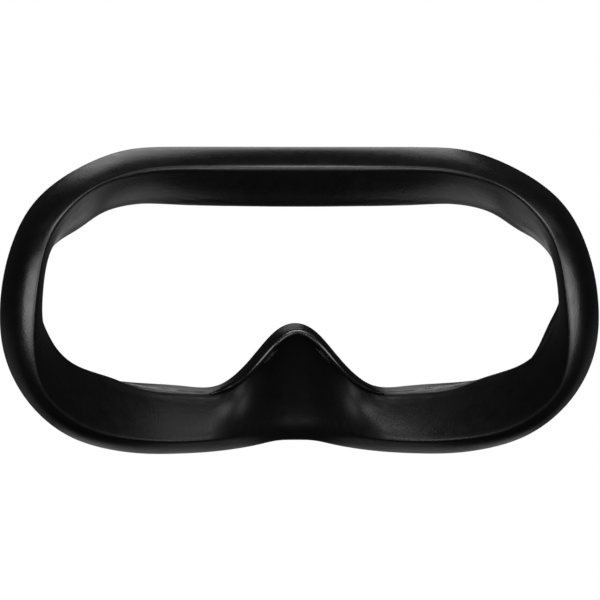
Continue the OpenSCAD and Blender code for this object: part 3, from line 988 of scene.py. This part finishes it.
LOOKS = {
    "leatherette": grained("leatherette", (0.0014, 0.0014, 0.0015), (0.0026, 0.0026, 0.0028),
                           0.29, 1.0, 0.012, 0.01),
    "piping": grained("piping", (0.002, 0.002, 0.0021), (0.004, 0.004, 0.0043), 0.2, 0.8, 0.005, 0.0),
    "thread": yarn("thread", (0.012, 0.012, 0.013), (0.035, 0.035, 0.037), 0.55),
    "lining": woven("lining", (0.006, 0.006, 0.007), (0.03, 0.03, 0.033), "X", "Z", 0.9, 0.18),
    "loop_fabric": woven("loop_tape", (0.006, 0.006, 0.007), (0.03, 0.03, 0.033), "DIAGONAL", "Z", 0.45, 0.1),
    "pile": yarn("loop_pile", (0.008, 0.008, 0.009), (0.04, 0.04, 0.043), 0.7),
    "soft_foam": porous("soft_foam", (0.03, 0.03, 0.032), (0.11, 0.11, 0.115), 0.6, 0.15),
    "base_foam": porous("base_foam", (0.02, 0.02, 0.021), (0.06, 0.06, 0.063), 0.35, 0.06),
    "adhesive": film("adhesive", (0.4, 0.36, 0.26), (0.6, 0.55, 0.42), 0.5, 3.0, 0.05),
    "board": film("board", (0.05, 0.05, 0.053), (0.08, 0.08, 0.086), 0.45, 0.8, 0.02),
}


def dress(piece, look, slot=None):
    piece.data.materials.clear()
    piece.data.materials.append(LOOKS[look])
    if slot:
        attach(piece, "root")


for piece, node in ((outer_wall, "outer_wall_cover"), (contact, "contact_cover"),
                    (inner_wall, "inner_wall_cover")):
    dress(piece, "leatherette", "leatherette")
    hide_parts(node)
dress(lining, "lining", "lining")
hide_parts("rear_lining")
dress(piping, "piping", "piping")
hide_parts("lip_piping")
for tape, mat, pile in strips.values():
    dress(tape, "loop_fabric", "loop_fabric")
    dress(mat, "pile", "loop_fabric")
    dress(pile, "pile", "loop_fabric")
dress(stitching, "thread", "thread")
dress(seam_lines, "thread", "thread")
for piece in soft_foam:
    dress(piece, "soft_foam", "soft_foam")
dress(firm_foam, "base_foam", "base_foam")
for node, look in (("foam_bond_film", "adhesive"), ("board_bond_film", "adhesive"),
                   ("backing_board", "board")):
    dress(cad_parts[node], look)

# ---------------------------------------------------------------- camera, floor and light
scene = bpy.context.scene
VIEW_YAW = math.radians(2.5)
VIEW_DISTANCE = 1.5
ahead = Vector((math.sin(VIEW_YAW), math.cos(VIEW_YAW), 0))
aside = Vector((math.cos(VIEW_YAW), -math.sin(VIEW_YAW), 0))
AIM = Vector((0, 0.0058, 0)) + aside * 0.0007
camera = bpy.data.objects.new("camera", bpy.data.cameras.new("camera"))
camera.location = AIM - ahead * VIEW_DISTANCE
camera.rotation_euler = (math.pi / 2, 0, -VIEW_YAW)
camera.data.sensor_width, camera.data.lens = 36, 36 * VIEW_DISTANCE / 0.1834
camera.data.clip_start, camera.data.clip_end = 0.01, 20
scene.collection.objects.link(camera)
scene.camera = camera
scene.view_settings.view_transform = "Standard"


def softbox(name, azimuth, elevation, wide, tall, power, distance=1.0):
    """A flat light that faces the pad. Azimuth 0 is on the camera's side, 90 on the pad's +X side."""
    a, e = math.radians(azimuth), math.radians(elevation)
    to = Vector((math.sin(a) * math.cos(e), -math.cos(a) * math.cos(e), math.sin(e)))
    lamp = bpy.data.lights.new(name, "AREA")
    lamp.shape, lamp.size, lamp.size_y, lamp.energy = "RECTANGLE", wide, tall, power
    box = bpy.data.objects.new(name, lamp)
    box.location = to * distance
    box.rotation_euler = to.to_track_quat("Z", "Y").to_euler()
    scene.collection.objects.link(box)
    return box


softbox("key", 0, 56, 0.42, 0.42, 4.8)
softbox("left", -25, 11, 0.6, 0.44, 4.8)
softbox("right", 25, 11, 0.6, 0.44, 4.8)
softbox("backdrop", 183, 37, 0.4, 0.5, 0.74)
softbox("cheek", 52, 64, 0.45, 0.45, 0.45)

world = bpy.data.worlds.new("studio")
scene.world = world
world.use_nodes = True
nodes, links = world.node_tree.nodes, world.node_tree.links
path = nodes.new("ShaderNodeLightPath")
seen = nodes.new("ShaderNodeBackground")
seen.inputs["Strength"].default_value = 1.0
around = nodes["Background"]
around.inputs["Strength"].default_value = 0.02
choose = nodes.new("ShaderNodeMixShader")
links.new(path.outputs["Is Camera Ray"], choose.inputs[0])
links.new(around.outputs[0], choose.inputs[1])
links.new(seen.outputs[0], choose.inputs[2])
links.new(choose.outputs[0], nodes["World Output"].inputs[0])
for background in (seen, around):
    background.inputs["Color"].default_value = (1, 1, 1, 1)

bpy.ops.mesh.primitive_plane_add(size=6, location=(0, 0, float(cad_low[2]) - 0.0002))
floor = bpy.context.object
floor.name = "floor"
floor_look = Look("floor", (0.03, 0.03, 0.03), 0.9)
floor_look.shown = floor_look.node("ShaderNodeEmission", Strength=1.0)
floor_look.choose = floor_look.node("ShaderNodeMixShader")
floor_look.feed(floor_look.choose.inputs[0], floor_look.node("ShaderNodeLightPath").outputs["Is Camera Ray"])
floor_look.feed(floor_look.choose.inputs[1], floor_look.shader.outputs[0])
# Painted light: to every ray but the camera's the floor is dark and glows only in a patch just behind and
# under the pad, lighting the pad's lower rim and down-facing faces; the camera sees the floor evenly white.
separate = floor_look.node("ShaderNodeSeparateXYZ", Vector=floor_look.where)
behind = separate.outputs["Y"]
sideways = floor_look.math("ABSOLUTE", separate.outputs["X"], 0.0)
under = floor_look.math("MULTIPLY", floor_look.ranged(behind, 0.002, 0.018, 0.0, 0.5),
                        floor_look.ranged(sideways, 0.058, 0.08, 1.0, 0.1))
under = floor_look.math("MULTIPLY", under, floor_look.ranged(sideways, 0.006, 0.016, 0.15, 1.0))
floor_look.feed(floor_look.shader.inputs["Emission Strength"], under)
floor_look.shader.inputs["Emission Color"].default_value = (1, 1, 1, 1)
floor_look.feed(floor_look.choose.inputs[2], floor_look.shown.outputs[0])
floor_look.feed(floor_look.tree.nodes["Material Output"].inputs["Surface"], floor_look.choose.outputs[0])
floor.data.materials.append(floor_look.material)
